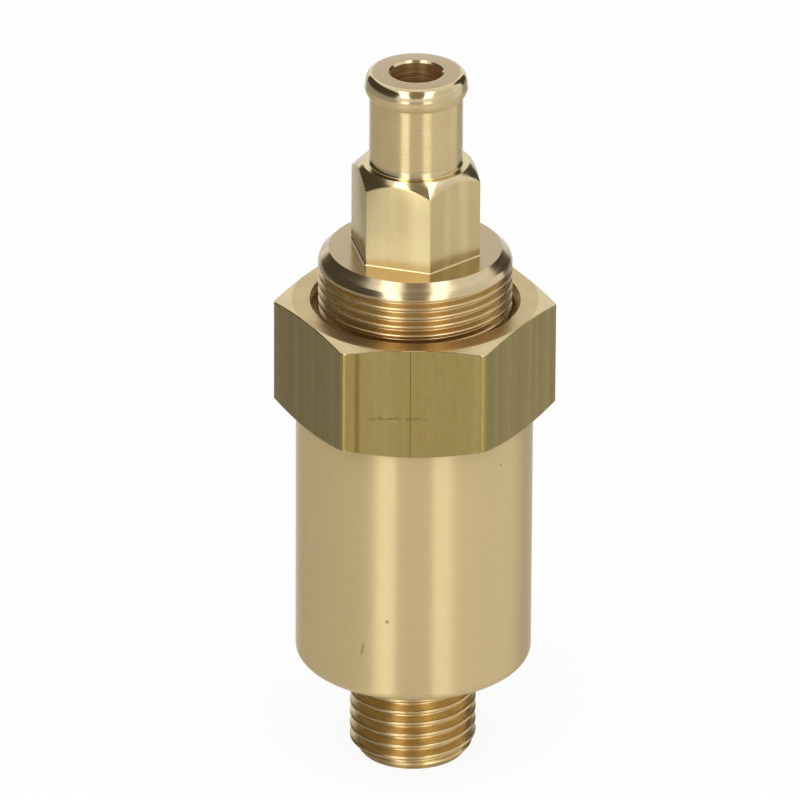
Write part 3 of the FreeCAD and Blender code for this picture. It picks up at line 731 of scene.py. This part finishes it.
def stage_material(name, colour, camera_share, mirror_share=0.0):
    """A plain colour that glows for the eye and takes shadow. A polished one, with a mirror_share, shows
    its shadows in reflections too, and a plain card only glows there."""
    material = bpy.data.materials.new(name)
    material.use_nodes = True
    nodes, links = material.node_tree.nodes, material.node_tree.links
    nodes.clear()

    def blend(factor, first, second):
        made = nodes.new("ShaderNodeMixShader")
        if isinstance(factor, float):
            made.inputs[0].default_value = factor
        else:
            links.new(factor, made.inputs[0])
        links.new(first, made.inputs[1])
        links.new(second, made.inputs[2])
        return made.outputs[0]

    path = nodes.new("ShaderNodeLightPath")
    diffuse = nodes.new("ShaderNodeBsdfDiffuse")
    diffuse.inputs["Color"].default_value = (*colour, 1)
    glow = nodes.new("ShaderNodeEmission")
    glow.inputs["Color"].default_value = (*colour, 1)
    polish = nodes.new("ShaderNodeBsdfAnisotropic")
    polish.inputs["Roughness"].default_value = 0.08
    clear = nodes.new("ShaderNodeBsdfTransparent")
    side = nodes.new("ShaderNodeNewGeometry")
    seen = blend(camera_share, diffuse.outputs[0], glow.outputs[0])
    reflected = blend(mirror_share, (diffuse if mirror_share else glow).outputs[0], polish.outputs[0])
    front = blend(path.outputs["Is Camera Ray"], diffuse.outputs[0], seen)
    front = blend(path.outputs["Is Glossy Ray"], front, reflected)
    output = nodes.new("ShaderNodeOutputMaterial")
    links.new(blend(side.outputs["Backfacing"], front, clear.outputs[0]), output.inputs[0])
    return material


def stage_object(name, sheet_bm, material):
    """Makes an object of a bmesh that is part of the stage and not of the vent."""
    mesh = bpy.data.meshes.new(name)
    sheet_bm.to_mesh(mesh)
    sheet_bm.free()
    mesh.materials.append(material)
    sheet = bpy.data.objects.new(name, mesh)
    bpy.context.scene.collection.objects.link(sheet)
    return sheet


def around(azimuth, elevation, distance, target):
    """A point at an angle round the vent, where azimuth 0 is the camera's side and 90 its right."""
    a, e = math.radians(azimuth), math.radians(elevation)
    return target + distance * Vector((math.sin(a) * math.cos(e), -math.cos(a) * math.cos(e), math.sin(e)))


middle = Vector((0, 0, 39.97 * mm))
table_radius = 3.0
# The table is open under the spigot's end face alone, so a view from below looks into the bore.
table_opening = inlet_end_radius - 0.01 * mm
table_material = stage_material("table_white", (1.0, 1.0, 1.0), 0.9, mirror_share=0.62)
table_bm = bmesh.new()
lathe(table_bm, ((table_opening, 0), (table_radius, 0)))
for face in table_bm.faces:
    face.normal_update()
    if face.normal.z < 0:
        face.normal_flip()
stage_object("table", table_bm, table_material)


def card(name, azimuth, elevation, distance, width, height, shade):
    """A flat card that faces the vent and that only reflections see."""
    place = around(azimuth, elevation, distance, middle)
    turn = (middle - place).to_track_quat("Z", "Y").to_matrix().to_4x4()
    card_bm = bmesh.new()
    bmesh.ops.create_grid(card_bm, x_segments=1, y_segments=1, size=0.5)
    bmesh.ops.transform(
        card_bm, verts=card_bm.verts[:],
        matrix=Matrix.Translation(place) @ turn @ Matrix.Diagonal((width, height, 1, 1)))
    sheet = stage_object(name, card_bm, stage_material(name, shade, 1.0))
    sheet.visible_camera = False
    sheet.visible_diffuse = False
    sheet.visible_shadow = False
    sheet.visible_transmission = False
    return sheet


card("camera_card", 0, 42, 0.9, 0.56, 1.4, (0.30, 0.26, 0.20))
card("left_card", -93, 24, 0.8, 2.0, 0.85, (0.08, 0.07, 0.05))
card("right_card", 66, 24, 0.95, 0.9, 0.85, (0.85, 0.85, 0.85))
card("right_back_card", 137, 20, 0.9, 0.5, 0.75, (0.08, 0.07, 0.06))


def soft_box(name, side, shift, radiance):
    """An upright soft box beside the camera, side is -1 or 1. Its top leans in over the vent."""
    width, height = 0.33, 1.27
    elevation, rise, distance, lean = 38, 0.08, 0.85, 3.9
    facing = Matrix.Rotation(math.radians(90 - elevation), 4, "X")
    place = Matrix.Translation(middle) @ facing @ Matrix.Translation((shift, rise, distance))
    lamp = bpy.data.lights.new(name, "AREA")
    lamp.shape = "RECTANGLE"
    lamp.size = width
    lamp.size_y = height
    lamp.energy = radiance * math.pi * width * height
    box = bpy.data.objects.new(name, lamp)
    bpy.context.scene.collection.objects.link(box)
    box.matrix_world = place @ Matrix.Rotation(math.radians(side * lean), 4, "Z")
    box.visible_camera = False


soft_box("soft_box_left", -1, -0.382, 2.1)
soft_box("soft_box_right", 1, 0.419, 1.75)

world = bpy.data.worlds.new("white_surround")
bpy.context.scene.world = world
world.use_nodes = True
surround = world.node_tree.nodes["Background"]
surround.inputs["Color"].default_value = (1.0, 1.0, 1.0, 1)
world_path = world.node_tree.nodes.new("ShaderNodeLightPath")
world_level = world.node_tree.nodes.new("ShaderNodeMapRange")
world_level.inputs["To Min"].default_value = 1.0
world_level.inputs["To Max"].default_value = 0.7
world.node_tree.links.new(world_path.outputs["Is Diffuse Ray"], world_level.inputs["Value"])
world.node_tree.links.new(world_level.outputs[0], surround.inputs["Strength"])

camera_azimuth, camera_elevation, camera_distance = 0.7, 25.6, 1.2863
camera_roll = 0.30
camera_data = bpy.data.cameras.new("camera")
camera_data.lens = 561.2
camera_data.sensor_width = 36.0
camera_data.clip_start, camera_data.clip_end = 0.01, 20.0
camera = bpy.data.objects.new("camera", camera_data)
bpy.context.scene.collection.objects.link(camera)
camera_aim = middle + Vector((-1.5 * mm, 0, 0))
camera.location = around(camera_azimuth, camera_elevation, camera_distance, camera_aim)
camera_turn = (camera_aim - camera.location).to_track_quat("-Z", "Y").to_matrix()
camera.rotation_euler = (camera_turn @ Matrix.Rotation(math.radians(camera_roll), 3, "Z")).to_euler()
bpy.context.scene.camera = camera
bpy.context.scene.view_settings.view_transform = "Standard"
